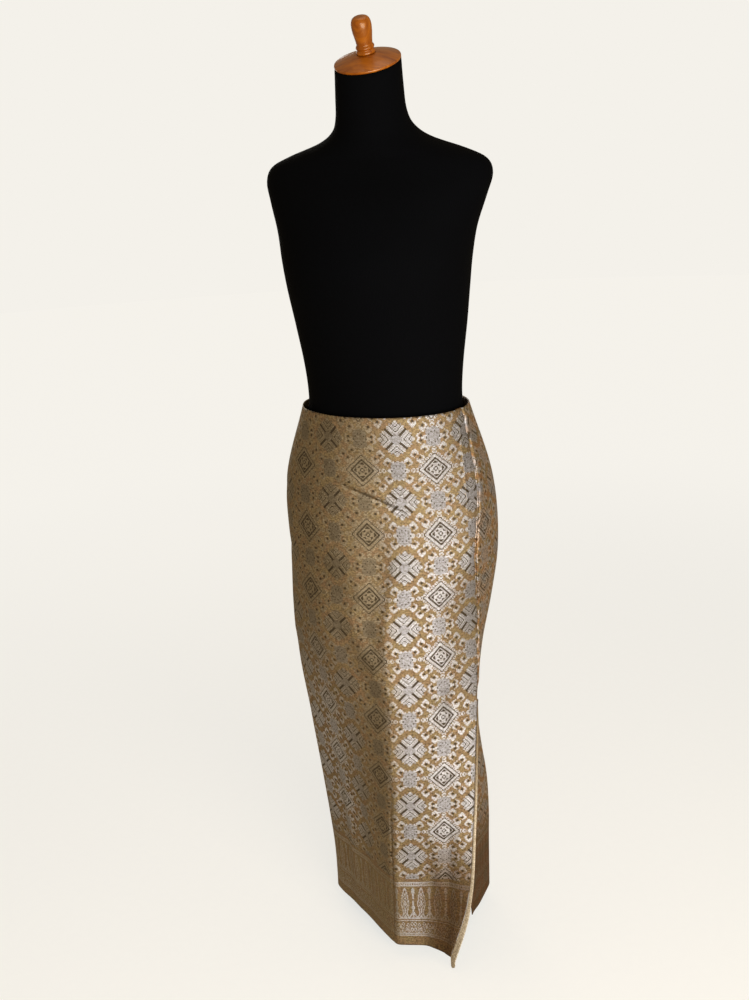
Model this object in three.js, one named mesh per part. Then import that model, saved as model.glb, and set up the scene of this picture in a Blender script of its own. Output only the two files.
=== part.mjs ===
// A long, narrow songket skirt worn by a limbless dress form on a round foot.
// Millimetres, +Z up, the front faces -Y. The origin is on the floor, under the centre line of the form.
//
// The skirt is cut as two panels. A lapped seam on the wearer's left closes them from the waist to the top
// of the slit. Below that the front panel's edge swings forward and the back panel's edge lies behind it.
// A narrow strip finishes the front edge of the slit and hangs below the hem as a tab.
import * as THREE from 'three';
import { mergeVertices } from 'three/addons/utils/BufferGeometryUtils.js';

// ---- Driving dimensions ----
const WAIST_HEIGHT = 922;       // height of the skirt's upper edge
const HEM_HEIGHT = 25;          // height of the hem
const CLOTH_WALL = 1.5;         // songket with its metal wefts
const STRIP_WALL = 2.0;         // the strip is turned over once
const SEAM_GAP = 0.4;           // space left between pieces that are sewn together
const STRIP_GAP = 0.6;          // the strip stands off a little more, because the slit edge slants
const LAP_DEPTH = 3.2;          // how far the back panel goes in where it lies under the front panel
const WAIST_DIP = 4;            // the waist edge is lower at the front than at the sides

const WAIST = { halfWidth: 125, halfDepth: 92, centre: 0 };
const HIGH_HIP = { halfWidth: 158, halfDepth: 112, centre: 0 };
const HIP = { halfWidth: 161, halfDepth: 119, centre: 2 };

const PANEL_ROWS = 27;          // cells from the waist to the hem

// ---- Sections of the skirt ----
// Height of each section, and how straight the cloth runs between its ribs there:
// 0 is a smooth round, 1 is flat faces with sharp folds between them.
const SECTIONS = [
  { height: WAIST_HEIGHT, flatness: 0.0, oval: WAIST },
  { height: 810, flatness: 0.0, oval: HIGH_HIP },
  { height: 710, flatness: 0.0, oval: HIP },
  { height: 610, flatness: 0.15 },
  { height: 510, flatness: 0.35 },
  { height: 390, flatness: 0.5 },
  { height: 250, flatness: 0.6 },
  { height: 120, flatness: 0.7 },
  { height: HEM_HEIGHT, flatness: 0.75 },
];

// Ribs run from the waist to the hem along the folds and edges. They are listed once round the body, from
// the front panel's slit edge across the front, round the wearer's right side and the back to the lap.
// turn: degrees round the body from the front towards the wearer's left, at waist, high hip and hip.
// x, y: place of the rib in the six sections below the hip.
// cells: how many cells lie between this rib and the next one.
// under: true where the rib goes below the front panel's lap at waist, high hip and hip.
const RIBS = [
  { name: 'slit edge', cells: 6, turn: [77, 68, 62],
    x: [138, 136, 132, 126, 115, 88], y: [-26, -27, -35, -43, -52, -66] },
  { name: 'valley', cells: 6, turn: [47, 43, 41],
    x: [93, 86, 78, 69, 55, 45], y: [-81, -75, -69, -62, -52, -48] },
  { name: 'front crease', cells: 5, turn: [17, 17, 17],
    x: [29, 22, 15, 5, 0, -4], y: [-113, -103, -93, -77, -66, -59] },
  { name: 'right of crease', cells: 4, turn: [-17, -17, -17],
    x: [-29, -31, -33, -37, -42, -40], y: [-112, -96, -74, -50, -35, -30] },
  { name: 'right front', cells: 7, turn: [-50, -50, -50],
    x: [-87, -83, -80, -78, -83, -88], y: [-98, -78, -48, -20, 0, 13] },
  { name: 'right side', cells: 5, turn: [-78, -78, -78],
    x: [-153, -161, -160, -159, -159, -161], y: [-39, -16, 14, 43, 64, 73] },
  { name: 'side seam', cells: 5, turn: [-104, -104, -106],
    x: [-155, -160, -160, -154, -152, -151], y: [18, 37, 64, 91, 107, 115] },
  { name: 'right back', cells: 6, turn: [-140, -140, -140],
    x: [-106, -110, -112, -111, -107, -107], y: [87, 98, 114, 130, 142, 148] },
  { name: 'centre back', cells: 7, turn: [-180, -180, -180],
    x: [-16, -21, -23, -24, -22, -20], y: [131, 139, 151, 167, 178, 184] },
  { name: 'left back', cells: 5, turn: [-222, -222, -222],
    x: [81, 67, 58, 60, 62, 63], y: [117, 126, 140, 162, 174, 183] },
  { name: 'left side', cells: 6, turn: [-252, -252, -256],
    x: [138, 114, 103, 110, 104, 101], y: [57, 65, 88, 112, 136, 150] },
  { name: 'lap', cells: 2, turn: [-278, -287, -293],
    x: [140, 136, 116, 107, 96, 99], y: [-17, -18, 8, 33, 54, 79] },
  { name: 'lap fold', cells: 2, turn: [-282, -291, -297], under: true,
    x: [136, 134, 118, 106, 95, 95], y: [-23, -24, -3, 22, 43, 60] },
  { name: 'lap edge', cells: 0, turn: [-289, -297, -303], under: true,
    x: [128, 125, 119, 106, 94, 95], y: [-33, -33, -12, 13, 34, 49] },
];

// The strip along the slit: how wide it is, and how far it turns forward, at each height.
const STRIP_TOP = 470;
const STRIP_SECTIONS = [
  { height: STRIP_TOP, width: 3, forward: 0.1 },
  { height: 250, width: 4, forward: 0.2 },
  { height: 120, width: 6, forward: 0.3 },
  { height: 70, width: 10, forward: 0.3 },
  { height: HEM_HEIGHT, width: 13, forward: 0.35 },
];
const TAB_LENGTH = 18;          // the strip's tab below the hem
const STRIP_ROWS = 22;
const STRIP_CELLS = 3;

// ---- Dress form ----
const NECK_TILT = 23;           // lean of the neck's cut and of the cap
const NECK_TOP = 1389;
const NECK_FORWARD = 4;         // how far the neck's top is moved towards the front

// Level sections of the torso, from its flat base to the neck.
// tilt: degrees that the section leans forward; back: how far its centre is moved towards +Y.
const TORSO_SECTIONS = [
  { height: 652, halfWidth: 122, halfDepth: 86, back: 0, tilt: 0 },
  { height: 655, halfWidth: 131, halfDepth: 93, back: 0, tilt: 0 },
  { height: 668, halfWidth: 139, halfDepth: 99, back: 0, tilt: 0 },
  { height: 710, halfWidth: 146, halfDepth: 105, back: 1, tilt: 0 },
  { height: 760, halfWidth: 148, halfDepth: 106, back: 1, tilt: 0 },
  { height: 810, halfWidth: 144, halfDepth: 101, back: 0, tilt: 0 },
  { height: 865, halfWidth: 130, halfDepth: 92, back: 0, tilt: 0 },
  { height: 905, halfWidth: 118, halfDepth: 85, back: 0, tilt: 0 },
  { height: 935, halfWidth: 115, halfDepth: 83, back: 0, tilt: 0 },
  { height: 980, halfWidth: 118, halfDepth: 87, back: 0, tilt: 0 },
  { height: 1040, halfWidth: 126, halfDepth: 97, back: -2, tilt: 0 },
  { height: 1090, halfWidth: 132, halfDepth: 108, back: -6, tilt: 0 },
  { height: 1130, halfWidth: 137, halfDepth: 109, back: -7, tilt: 0 },
  { height: 1170, halfWidth: 144, halfDepth: 101, back: -2, tilt: 0 },
  { height: 1210, halfWidth: 157, halfDepth: 88, back: 6, tilt: 0 },
  { height: 1238, halfWidth: 165, halfDepth: 74, back: 12, tilt: 0 },
  { height: 1258, halfWidth: 157, halfDepth: 66, back: 14, tilt: 0 },
  { height: 1272, halfWidth: 128, halfDepth: 61, back: 12, tilt: 4 },
  { height: 1288, halfWidth: 80, halfDepth: 56, back: 6, tilt: 9 },
  { height: 1304, halfWidth: 57, halfDepth: 51, back: 2, tilt: 14 },
  { height: 1324, halfWidth: 49, halfDepth: 48, back: -1, tilt: 18 },
  { height: 1352, halfWidth: 47, halfDepth: 46, back: -3, tilt: 22 },
  { height: NECK_TOP, halfWidth: 45.5, halfDepth: 44.5, back: -NECK_FORWARD, tilt: NECK_TILT },
];
const TORSO_SEGMENTS = 40;

// The cap and its knob are turned on one axis that leans with the neck.
const CAP_RADIUS = 46;
const CAP_THICKNESS = 12.4;      // in the middle, where the cap is raised under the knob
const CAP_RIM = 3.6;            // at its edge
const CAP_SEGMENTS = 40;
const KNOB_SEGMENTS = 28;

// The pole stands back from the form's middle, because the skirt's folds come in there from the front.
const STAND_BACK = 44;
const POLE_RADIUS = 12.5;
const FOOT_RADIUS = 65;
const FOOT_THICKNESS = 12;

// ---- Materials ----
const CLOTH = new THREE.MeshStandardMaterial({ color: 0xa78b5f, roughness: 0.5, metalness: 0.35 });
const STRIP = new THREE.MeshStandardMaterial({ color: 0xc9b48c, roughness: 0.6, metalness: 0.2 });
const JERSEY = new THREE.MeshStandardMaterial({ color: 0x0c0c0e, roughness: 0.85, metalness: 0.0 });
const LACQUER = new THREE.MeshStandardMaterial({ color: 0xb46a22, roughness: 0.25, metalness: 0.0 });
const STEEL = new THREE.MeshStandardMaterial({ color: 0x2a2a2c, roughness: 0.4, metalness: 0.8 });

const radians = THREE.MathUtils.degToRad;

// A closed body from a grid of outer points and a grid of inner points of the same size.
// outer[row][column] runs down the rows, and columns run so that outer x inner faces stay outside.
function wallBetween(outer, inner) {
  const rows = outer.length;
  const columns = outer[0].length;
  const points = [...outer.flat(), ...inner.flat()];
  const outside = (r, c) => r * columns + c;
  const inside = (r, c) => rows * columns + r * columns + c;
  const faces = [];
  const quad = (a, b, c, d) => faces.push(a, b, c, a, c, d);
  for (let r = 0; r < rows - 1; r += 1) {
    for (let c = 0; c < columns - 1; c += 1) {
      quad(outside(r, c), outside(r, c + 1), outside(r + 1, c + 1), outside(r + 1, c));
      quad(inside(r, c), inside(r + 1, c), inside(r + 1, c + 1), inside(r, c + 1));
    }
    quad(outside(r, 0), outside(r + 1, 0), inside(r + 1, 0), inside(r, 0));
    const last = columns - 1;
    quad(outside(r, last), inside(r, last), inside(r + 1, last), outside(r + 1, last));
  }
  for (let c = 0; c < columns - 1; c += 1) {
    const bottom = rows - 1;
    quad(outside(0, c), inside(0, c), inside(0, c + 1), outside(0, c + 1));
    quad(outside(bottom, c), outside(bottom, c + 1), inside(bottom, c + 1), inside(bottom, c));
  }
  const geometry = new THREE.BufferGeometry();
  geometry.setAttribute('position', new THREE.Float32BufferAttribute(points.flatMap((p) => p.toArray()), 3));
  geometry.setIndex(faces);
  return geometry;
}

// A smooth curve through values at falling heights, read at any height.
function readAtHeight(values, heights, height) {
  const last = heights.length - 1;
  let k = 0;
  while (k < last - 1 && height < heights[k + 1]) k += 1;
  const slope = (i) => {
    const before = Math.max(i - 1, 0);
    const after = Math.min(i + 1, last);
    return (values[after] - values[before]) / (heights[after] - heights[before]);
  };
  const span = heights[k + 1] - heights[k];
  const t = (height - heights[k]) / span;
  const t2 = t * t;
  const t3 = t2 * t;
  return (2 * t3 - 3 * t2 + 1) * values[k] + (t3 - 2 * t2 + t) * span * slope(k)
    + (3 * t2 - 2 * t3) * values[k + 1] + (t3 - t2) * span * slope(k + 1);
}

// A value that changes evenly between heights.
function readEvenly(values, heights, height) {
  let k = 0;
  while (k < heights.length - 2 && height < heights[k + 1]) k += 1;
  const t = THREE.MathUtils.clamp((height - heights[k]) / (heights[k + 1] - heights[k]), 0, 1);
  return values[k] + t * (values[k + 1] - values[k]);
}

const SECTION_HEIGHTS = SECTIONS.map((section) => section.height);
const OVALS = SECTIONS.filter((section) => section.oval).map((section) => section.oval);

// Where a rib passes each section: on the ovals by its turn, below them by its x and y.
function ribPlaces(rib) {
  const inset = rib.under ? LAP_DEPTH : 0;
  const onOvals = OVALS.map((oval, i) => {
    const turn = radians(rib.turn[i]);
    const x = oval.centre + (oval.halfWidth - inset) * Math.sin(turn);
    const y = -(oval.halfDepth - inset) * Math.cos(turn);
    return new THREE.Vector2(x, y);
  });
  const below = rib.x.map((x, i) => new THREE.Vector2(x, rib.y[i]));
  return [...onOvals, ...below];
}

function ribAtHeight(rib, height) {
  const places = ribPlaces(rib);
  const x = readAtHeight(places.map((p) => p.x), SECTION_HEIGHTS, height);
  const y = readAtHeight(places.map((p) => p.y), SECTION_HEIGHTS, height);
  return new THREE.Vector2(x, y);
}

// The outline of the whole skirt at one height, from the slit edge once round to the lap edge.
function outlineAt(height) {
  const flatness = readEvenly(SECTIONS.map((section) => section.flatness), SECTION_HEIGHTS, height);
  const knots = RIBS.map((rib) => ribAtHeight(rib, height));
  const last = knots.length - 1;
  // Before the slit edge the front goes on with its own bend, and behind the lap edge the cloth is straight.
  const before = knots[0].clone().sub(knots[1]).multiplyScalar(3).add(knots[2]);
  const after = knots[last].clone().multiplyScalar(2).sub(knots[last - 1]);
  const all = [before, ...knots, after];
  const outline = [];
  for (let i = 0; i < last; i += 1) {
    const [a, b, c, d] = all.slice(i, i + 4);
    for (let j = 0; j < RIBS[i].cells; j += 1) {
      const t = j / RIBS[i].cells;
      const round = (p, q, r, s) => 0.5 * (2 * q + (r - p) * t + (2 * p - 5 * q + 4 * r - s) * t * t
        + (3 * q - p - 3 * r + s) * t * t * t);
      const curved = new THREE.Vector2(round(a.x, b.x, c.x, d.x), round(a.y, b.y, c.y, d.y));
      outline.push(curved.lerp(b.clone().lerp(c, t), flatness));
    }
  }
  outline.push(knots[last]);
  return outline;
}

// The same outline moved inwards, square to the cloth.
function movedIn(outline, distance) {
  return outline.map((point, i) => {
    const before = outline[Math.max(i - 1, 0)];
    const after = outline[Math.min(i + 1, outline.length - 1)];
    const along = after.clone().sub(before).normalize();
    return new THREE.Vector2(point.x + along.y * distance, point.y - along.x * distance);
  });
}

// The upper edge dips at the front and the rest of the skirt follows it less and less downwards.
function dipAt(point, height) {
  const share = THREE.MathUtils.smoothstep(height, 810, WAIST_HEIGHT);
  const frontness = THREE.MathUtils.clamp(0.5 - point.y / (2 * WAIST.halfDepth), 0, 1);
  return -WAIST_DIP * share * frontness;
}

// Cells from the slit edge to the rib of this name.
function cellsTo(name) {
  const end = RIBS.findIndex((rib) => rib.name === name);
  return RIBS.slice(0, end).reduce((sum, rib) => sum + rib.cells, 0);
}

// Moves a row's end point towards its neighbour, to leave half of a seam's gap.
function pullEnd(row, end, neighbour) {
  const step = row[neighbour].clone().sub(row[end]);
  row[end] = row[end].clone().add(step.setLength(SEAM_GAP / 2));
}

// One panel of the skirt, between two ribs, with its gap at the side seam.
function panel(fromRib, toRib) {
  const first = cellsTo(fromRib);
  const last = cellsTo(toRib);
  const outer = [];
  const inner = [];
  for (let r = 0; r <= PANEL_ROWS; r += 1) {
    const height = THREE.MathUtils.lerp(WAIST_HEIGHT, HEM_HEIGHT, r / PANEL_ROWS);
    const outline = outlineAt(height);
    const raise = (p, c) => new THREE.Vector3(p.x, p.y, height + dipAt(outline[c], height));
    const outerRow = outline.map(raise).slice(first, last + 1);
    const innerRow = movedIn(outline, CLOTH_WALL).map(raise).slice(first, last + 1);
    for (const row of [outerRow, innerRow]) {
      if (fromRib === 'side seam') pullEnd(row, 0, 1);
      if (toRib === 'side seam') pullEnd(row, row.length - 1, row.length - 2);
    }
    outer.push(outerRow);
    inner.push(innerRow);
  }
  return wallBetween(outer, inner);
}

// The strip starts at the front panel's slit edge and goes on outwards, turning forward towards the hem.
function slitStrip() {
  const heights = STRIP_SECTIONS.map((section) => section.height);
  const widths = STRIP_SECTIONS.map((section) => section.width);
  const turns = STRIP_SECTIONS.map((section) => section.forward);
  const outer = [];
  const inner = [];
  for (let r = 0; r <= STRIP_ROWS; r += 1) {
    const height = THREE.MathUtils.lerp(STRIP_TOP, HEM_HEIGHT - TAB_LENGTH, r / STRIP_ROWS);
    const onPanel = Math.max(height, HEM_HEIGHT);
    const outline = outlineAt(onPanel);
    const away = outline[0].clone().sub(outline[1]).normalize();
    const forward = new THREE.Vector2(away.y, -away.x);
    const width = readEvenly(widths, heights, onPanel);
    const turn = readEvenly(turns, heights, onPanel);
    const inTab = (HEM_HEIGHT - height) / TAB_LENGTH;
    const taper = inTab > 0 ? 1 - 0.45 * inTab * inTab : 1;
    const outerRow = [];
    const innerRow = [];
    for (let c = 0; c <= STRIP_CELLS; c += 1) {
      const across = STRIP_GAP + (width * taper * (STRIP_CELLS - c)) / STRIP_CELLS;
      const lift = turn * (across * across) / width;
      const point = outline[0].clone().addScaledVector(away, across).addScaledVector(forward, lift);
      const back = point.clone().addScaledVector(forward, -STRIP_WALL);
      outerRow.push(new THREE.Vector3(point.x, point.y, height));
      innerRow.push(new THREE.Vector3(back.x, back.y, height));
    }
    outer.push(outerRow);
    inner.push(innerRow);
  }
  return wallBetween(outer, inner);
}

// A smooth solid through level or tilted ovals, closed by a flat fan at each end.
function torsoSolid() {
  const rings = TORSO_SECTIONS.map((section) => {
    const ring = [];
    for (let i = 0; i < TORSO_SEGMENTS; i += 1) {
      const turn = (2 * Math.PI * i) / TORSO_SEGMENTS;
      const x = section.halfWidth * Math.cos(turn);
      const y = section.halfDepth * Math.sin(turn);
      const rise = y * Math.tan(radians(section.tilt));
      ring.push(new THREE.Vector3(x, y + section.back, section.height + rise));
    }
    return ring;
  });
  const points = rings.flat();
  const faces = [];
  const at = (r, i) => r * TORSO_SEGMENTS + (i % TORSO_SEGMENTS);
  for (let r = 0; r < rings.length - 1; r += 1) {
    for (let i = 0; i < TORSO_SEGMENTS; i += 1) {
      faces.push(at(r, i), at(r, i + 1), at(r + 1, i + 1), at(r, i), at(r + 1, i + 1), at(r + 1, i));
    }
  }
  const top = rings.length - 1;
  const bottomCentre = points.length;
  points.push(new THREE.Vector3(0, TORSO_SECTIONS[0].back, TORSO_SECTIONS[0].height));
  const topCentre = points.length;
  points.push(new THREE.Vector3(0, TORSO_SECTIONS[top].back, TORSO_SECTIONS[top].height));
  for (let i = 0; i < TORSO_SEGMENTS; i += 1) {
    faces.push(bottomCentre, at(0, i + 1), at(0, i));
    faces.push(topCentre, at(top, i), at(top, i + 1));
  }
  const geometry = new THREE.BufferGeometry();
  geometry.setAttribute('position', new THREE.Float32BufferAttribute(points.flatMap((p) => p.toArray()), 3));
  geometry.setIndex(faces);
  return geometry;
}

// A turned solid from [radius, height] pairs, standing along +Z.
function turned(profile, segments) {
  const outline = profile.map(([radius, height]) => new THREE.Vector2(radius, height));
  const geometry = new THREE.LatheGeometry(outline, segments);
  geometry.rotateX(Math.PI / 2);
  geometry.deleteAttribute('normal');
  geometry.deleteAttribute('uv');
  return mergeVertices(geometry, 1e-3);
}

// The cap is a thin disc that rises in a low dome towards the middle.
function capProfile() {
  const seat = 13.8;
  const edge = CAP_RADIUS - 1.2;
  const dome = [0.8, 0.58, 0.36, 0.17].map((share) => [
    seat + (edge - seat) * share, CAP_RIM + (CAP_THICKNESS - CAP_RIM) * (1 - share ** 1.2),
  ]);
  return [
    [0, 0], [CAP_RADIUS - 1, 0], [CAP_RADIUS, 1], [CAP_RADIUS, CAP_RIM - 1], [edge, CAP_RIM],
    ...dome, [seat, CAP_THICKNESS], [0, CAP_THICKNESS],
  ];
}

// The knob: a collar and a ring at its base, then an egg that is widest in its upper third.
const KNOB_PROFILE = [
  [0, 0], [12.4, 0], [13.3, 1.6], [12.6, 3.6], [11.2, 5], [12.7, 7.2], [12.7, 9.2], [11.1, 11.4],
  [11.4, 15], [12.4, 21.5], [13.5, 29], [13.8, 35.5], [13.2, 41.5], [10.6, 46], [5.4, 48.3], [0, 48.5],
];

function named(name, geometry, material) {
  const mesh = new THREE.Mesh(geometry, material);
  mesh.name = name;
  return mesh;
}

// ---- Assembly ----
const skirt = new THREE.Group();
skirt.add(
  named('skirt_front', panel('slit edge', 'side seam'), CLOTH),
  named('skirt_back', panel('side seam', 'lap edge'), CLOTH),
  named('slit_strip', slitStrip(), STRIP),
);

const cap = new THREE.Group();
cap.position.set(0, -NECK_FORWARD, NECK_TOP);
cap.rotation.x = radians(NECK_TILT);
const disc = named('form_cap', turned(capProfile(), CAP_SEGMENTS), LACQUER);
disc.position.z = SEAM_GAP;
const knob = named('form_knob', turned(KNOB_PROFILE, KNOB_SEGMENTS), LACQUER);
knob.position.z = CAP_THICKNESS + 2 * SEAM_GAP;
cap.add(disc, knob);

const stand = new THREE.Group();
stand.position.set(0, STAND_BACK, 0);
const footEdge = 2;
const foot = named('form_foot', turned([
  [0, 0], [FOOT_RADIUS, 0], [FOOT_RADIUS, FOOT_THICKNESS - footEdge],
  [FOOT_RADIUS - footEdge, FOOT_THICKNESS], [0, FOOT_THICKNESS],
], 48), STEEL);
const poleLength = TORSO_SECTIONS[0].height - FOOT_THICKNESS - 2 * SEAM_GAP;
const pole = named('form_pole', turned([
  [0, 0], [POLE_RADIUS, 0], [POLE_RADIUS, poleLength], [0, poleLength],
], 24), STEEL);
pole.position.z = FOOT_THICKNESS + SEAM_GAP;
stand.add(foot, pole);

const form = new THREE.Group();
form.add(named('form_torso', torsoSolid(), JERSEY), cap, stand);

const part = new THREE.Group();
part.add(form, skirt);

export default part;
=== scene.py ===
# %% [markdown]
# # A songket skirt on a dress form
# The object is one long, narrow skirt of songket, a cloth with metal threads woven into it, worn by a
# limbless dress form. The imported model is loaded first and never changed. Each cloth solid is replaced by a
# thin sheet on the same form, and each solid of the dress form by a finer turned or lofted piece.

import math

import bmesh
import bpy
from mathutils import Euler, Matrix, Vector


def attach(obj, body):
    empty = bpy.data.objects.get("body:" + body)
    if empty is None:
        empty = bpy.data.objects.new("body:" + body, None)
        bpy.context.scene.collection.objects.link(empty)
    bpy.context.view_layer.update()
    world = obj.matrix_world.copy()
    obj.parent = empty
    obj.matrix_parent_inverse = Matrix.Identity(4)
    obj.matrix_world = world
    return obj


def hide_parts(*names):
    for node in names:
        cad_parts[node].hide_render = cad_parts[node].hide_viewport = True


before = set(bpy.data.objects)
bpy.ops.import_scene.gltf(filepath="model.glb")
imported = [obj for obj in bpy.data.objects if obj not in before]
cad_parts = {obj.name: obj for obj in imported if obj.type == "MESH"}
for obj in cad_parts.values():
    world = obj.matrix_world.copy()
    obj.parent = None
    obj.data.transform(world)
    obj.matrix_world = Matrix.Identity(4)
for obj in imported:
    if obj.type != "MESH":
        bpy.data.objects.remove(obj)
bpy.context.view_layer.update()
print("nodes:", ", ".join(sorted(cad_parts)))

# %% [markdown]
# ## The camera
# The camera stands to the front and a little to the wearer's left, above the waist, and looks down. It also
# leans a few degrees to one side, as a camera held in the hand does. Its axes are worked out from three
# angles, so each angle can be read and changed on its own.

# %% Camera
CAMERA_PLACE = Vector((0.56725, -1.62604, 1.29796))
CAMERA_ROUND = math.radians(20)
CAMERA_DOWN = math.radians(17)
CAMERA_LEAN = math.radians(3)
CAMERA_LENS = 43.2


def camera_matrix():
    right = Vector((math.cos(CAMERA_ROUND), math.sin(CAMERA_ROUND), 0))
    back = Vector((math.sin(CAMERA_ROUND), -math.cos(CAMERA_ROUND), 0))
    ahead = -back * math.cos(CAMERA_DOWN) - Vector((0, 0, math.sin(CAMERA_DOWN)))
    up = right.cross(ahead)
    leaning_right = right * math.cos(CAMERA_LEAN) - up * math.sin(CAMERA_LEAN)
    leaning_up = right * math.sin(CAMERA_LEAN) + up * math.cos(CAMERA_LEAN)
    axes = Matrix((leaning_right, leaning_up, -ahead)).transposed()
    return Matrix.Translation(CAMERA_PLACE) @ axes.to_4x4()


camera_data = bpy.data.cameras.new("camera")
camera_data.lens = CAMERA_LENS
camera_data.sensor_width = 36
camera = bpy.data.objects.new("camera", camera_data)
camera.matrix_world = camera_matrix()
bpy.context.collection.objects.link(camera)
bpy.context.scene.camera = camera
bpy.context.scene.view_settings.view_transform = "Standard"
print("camera at", tuple(round(v, 2) for v in CAMERA_PLACE))

# %% [markdown]
# ## The sizes of the skirt
# A pattern maker describes a skirt by a few body measures and by its folds. The same values as in the solid
# model are used here, in millimetres, so the cloth lies on the form that the solids have. The first three
# levels are ovals round the body. Below the hip the cloth hangs from its folds, and each fold has its own
# path down to the hem.

# %% Sizes of the skirt, in millimetres
MM = 0.001
WAIST_HEIGHT = 922
HIGH_HIP_HEIGHT = 810
HEM_HEIGHT = 25
CLOTH_WALL = 1.4
SEAM_GAP = 0.4
LAP_DEPTH = 3.2
WAIST_DIP = 4

LEVELS = (922, 810, 710, 610, 510, 390, 250, 120, 25)
FLATNESS = (0.0, 0.0, 0.0, 0.15, 0.35, 0.5, 0.6, 0.7, 0.75)

# half width, half depth and place of the middle at the waist, the high hip and the hip
OVALS = ((125, 92, 0), (158, 112, 0), (161, 119, 2))

# cells to the next fold, turns at the ovals, then x and y at the six levels below the hip
FOLDS = {
    "slit edge": (6, (77, 68, 62), (138, 136, 132, 126, 115, 88), (-26, -27, -35, -43, -52, -66)),
    "valley": (6, (47, 43, 41), (93, 86, 78, 69, 55, 45), (-81, -75, -69, -62, -52, -48)),
    "front crease": (5, (17, 17, 17), (29, 22, 15, 5, 0, -4), (-113, -103, -93, -77, -66, -59)),
    "right of crease": (4, (-17, -17, -17), (-29, -31, -33, -37, -42, -40), (-112, -96, -74, -50, -35, -30)),
    "right front": (7, (-50, -50, -50), (-87, -83, -80, -78, -83, -88), (-98, -78, -48, -20, 0, 13)),
    "right side": (5, (-78, -78, -78), (-153, -161, -160, -159, -159, -161), (-39, -16, 14, 43, 64, 73)),
    "side seam": (5, (-104, -104, -106), (-155, -160, -160, -154, -152, -151), (18, 37, 64, 91, 107, 115)),
    "right back": (6, (-140, -140, -140), (-106, -110, -112, -111, -107, -107), (87, 98, 114, 130, 142, 148)),
    "centre back": (7, (-180, -180, -180), (-16, -21, -23, -24, -22, -20), (131, 139, 151, 167, 178, 184)),
    "left back": (5, (-222, -222, -222), (81, 67, 58, 60, 62, 63), (117, 126, 140, 162, 174, 183)),
    "left side": (6, (-252, -252, -256), (138, 114, 103, 110, 104, 101), (57, 65, 88, 112, 136, 150)),
    "lap": (2, (-278, -287, -293), (140, 136, 116, 107, 96, 99), (-17, -18, 8, 33, 54, 79)),
    "lap fold": (2, (-282, -291, -297), (136, 134, 118, 106, 95, 95), (-23, -24, -3, 22, 43, 60)),
    "lap edge": (0, (-289, -297, -303), (128, 125, 119, 106, 94, 95), (-33, -33, -12, 13, 34, 49)),
}
UNDER_THE_LAP = ("lap fold", "lap edge")
print(len(FOLDS), "folds at", len(LEVELS), "levels")

# %% Three kinds of curve


def share(value, start, end):
    """How far a value has come from start to end, from 0 to 1."""
    return min(max((value - start) / (end - start), 0), 1)


def eased(start, end, leaving, arriving, t):
    """A curve from start to end with a given slope at both of its ends."""
    return ((2 * t**3 - 3 * t**2 + 1) * start + (t**3 - 2 * t**2 + t) * leaving
            + (3 * t**2 - 2 * t**3) * end + (t**3 - t**2) * arriving)


def through_points(knots, steps, before, after):
    """A smooth curve through all the knots, as one list of points for each gap between two of them."""
    ends = [before, *knots, after]
    runs = []
    for index, count in enumerate(steps):
        a, b, c, d = ends[index:index + 4]
        runs.append([])
        for step in range(count):
            t = step / count
            bend = 2 * b + (c - a) * t + (2 * a - 5 * b + 4 * c - d) * t**2 + (3 * b - a - 3 * c + d) * t**3
            runs[-1].append((t, 0.5 * bend))
    return runs


# %% Reading the sizes at any height


def smooth_value(values, height):
    """A smooth curve through one value for each level."""
    upper = next((level for level in range(len(LEVELS) - 2) if height >= LEVELS[level + 1]), len(LEVELS) - 2)

    def slope(level):
        above = max(level - 1, 0)
        below = min(level + 1, len(LEVELS) - 1)
        return (values[below] - values[above]) / (LEVELS[below] - LEVELS[above])

    span = LEVELS[upper + 1] - LEVELS[upper]
    t = (height - LEVELS[upper]) / span
    return eased(values[upper], values[upper + 1], span * slope(upper), span * slope(upper + 1), t)


def even_value(values, height, heights=LEVELS):
    """A value that changes evenly from each height to the next, from the top down."""
    lower = next((mark for mark in range(1, len(heights)) if height >= heights[mark]), len(heights) - 1)
    t = share(height, heights[lower - 1], heights[lower])
    return values[lower - 1] + t * (values[lower] - values[lower - 1])


def fold_places(name):
    """Where one fold passes each level."""
    cells, turns, across, back = FOLDS[name]
    inset = LAP_DEPTH if name in UNDER_THE_LAP else 0
    places = []
    for (half_width, half_depth, middle), turn in zip(OVALS, turns):
        angle = math.radians(turn)
        x = middle + (half_width - inset) * math.sin(angle)
        places.append((x, -(half_depth - inset) * math.cos(angle)))
    return places + list(zip(across, back))


FOLD_PLACES = {name: fold_places(name) for name in FOLDS}


def fold_at(name, height):
    places = FOLD_PLACES[name]
    x = smooth_value([place[0] for place in places], height)
    y = smooth_value([place[1] for place in places], height)
    return Vector((x, y))


print("front crease at the hem:", tuple(round(v) for v in fold_at("front crease", HEM_HEIGHT)))

# %% [markdown]
# ## One line round the skirt
# At each height the cloth is a line that runs through all the folds. High up it is a smooth round, and near
# the hem it is nearly straight from fold to fold, as stiff woven cloth hangs. The line is softened a little
# afterwards, because a real fold has a small round on it. Only the front crease keeps a firmer edge, as it
# was pressed in when the skirt lay folded.

# %% The outline at one height
STEPS_A_CELL = 5


def outline_at(height):
    flat = even_value(FLATNESS, height)
    knots = [fold_at(name, height) for name in FOLDS]
    before = 3 * (knots[0] - knots[1]) + knots[2]
    after = 2 * knots[-1] - knots[-2]
    steps = [values[0] * STEPS_A_CELL for values in FOLDS.values()][:-1]
    points = []
    for index, run in enumerate(through_points(knots, steps, before, after)):
        points += [point.lerp(knots[index].lerp(knots[index + 1], t), flat) for t, point in run]
    return [*points, knots[-1]]


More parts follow.
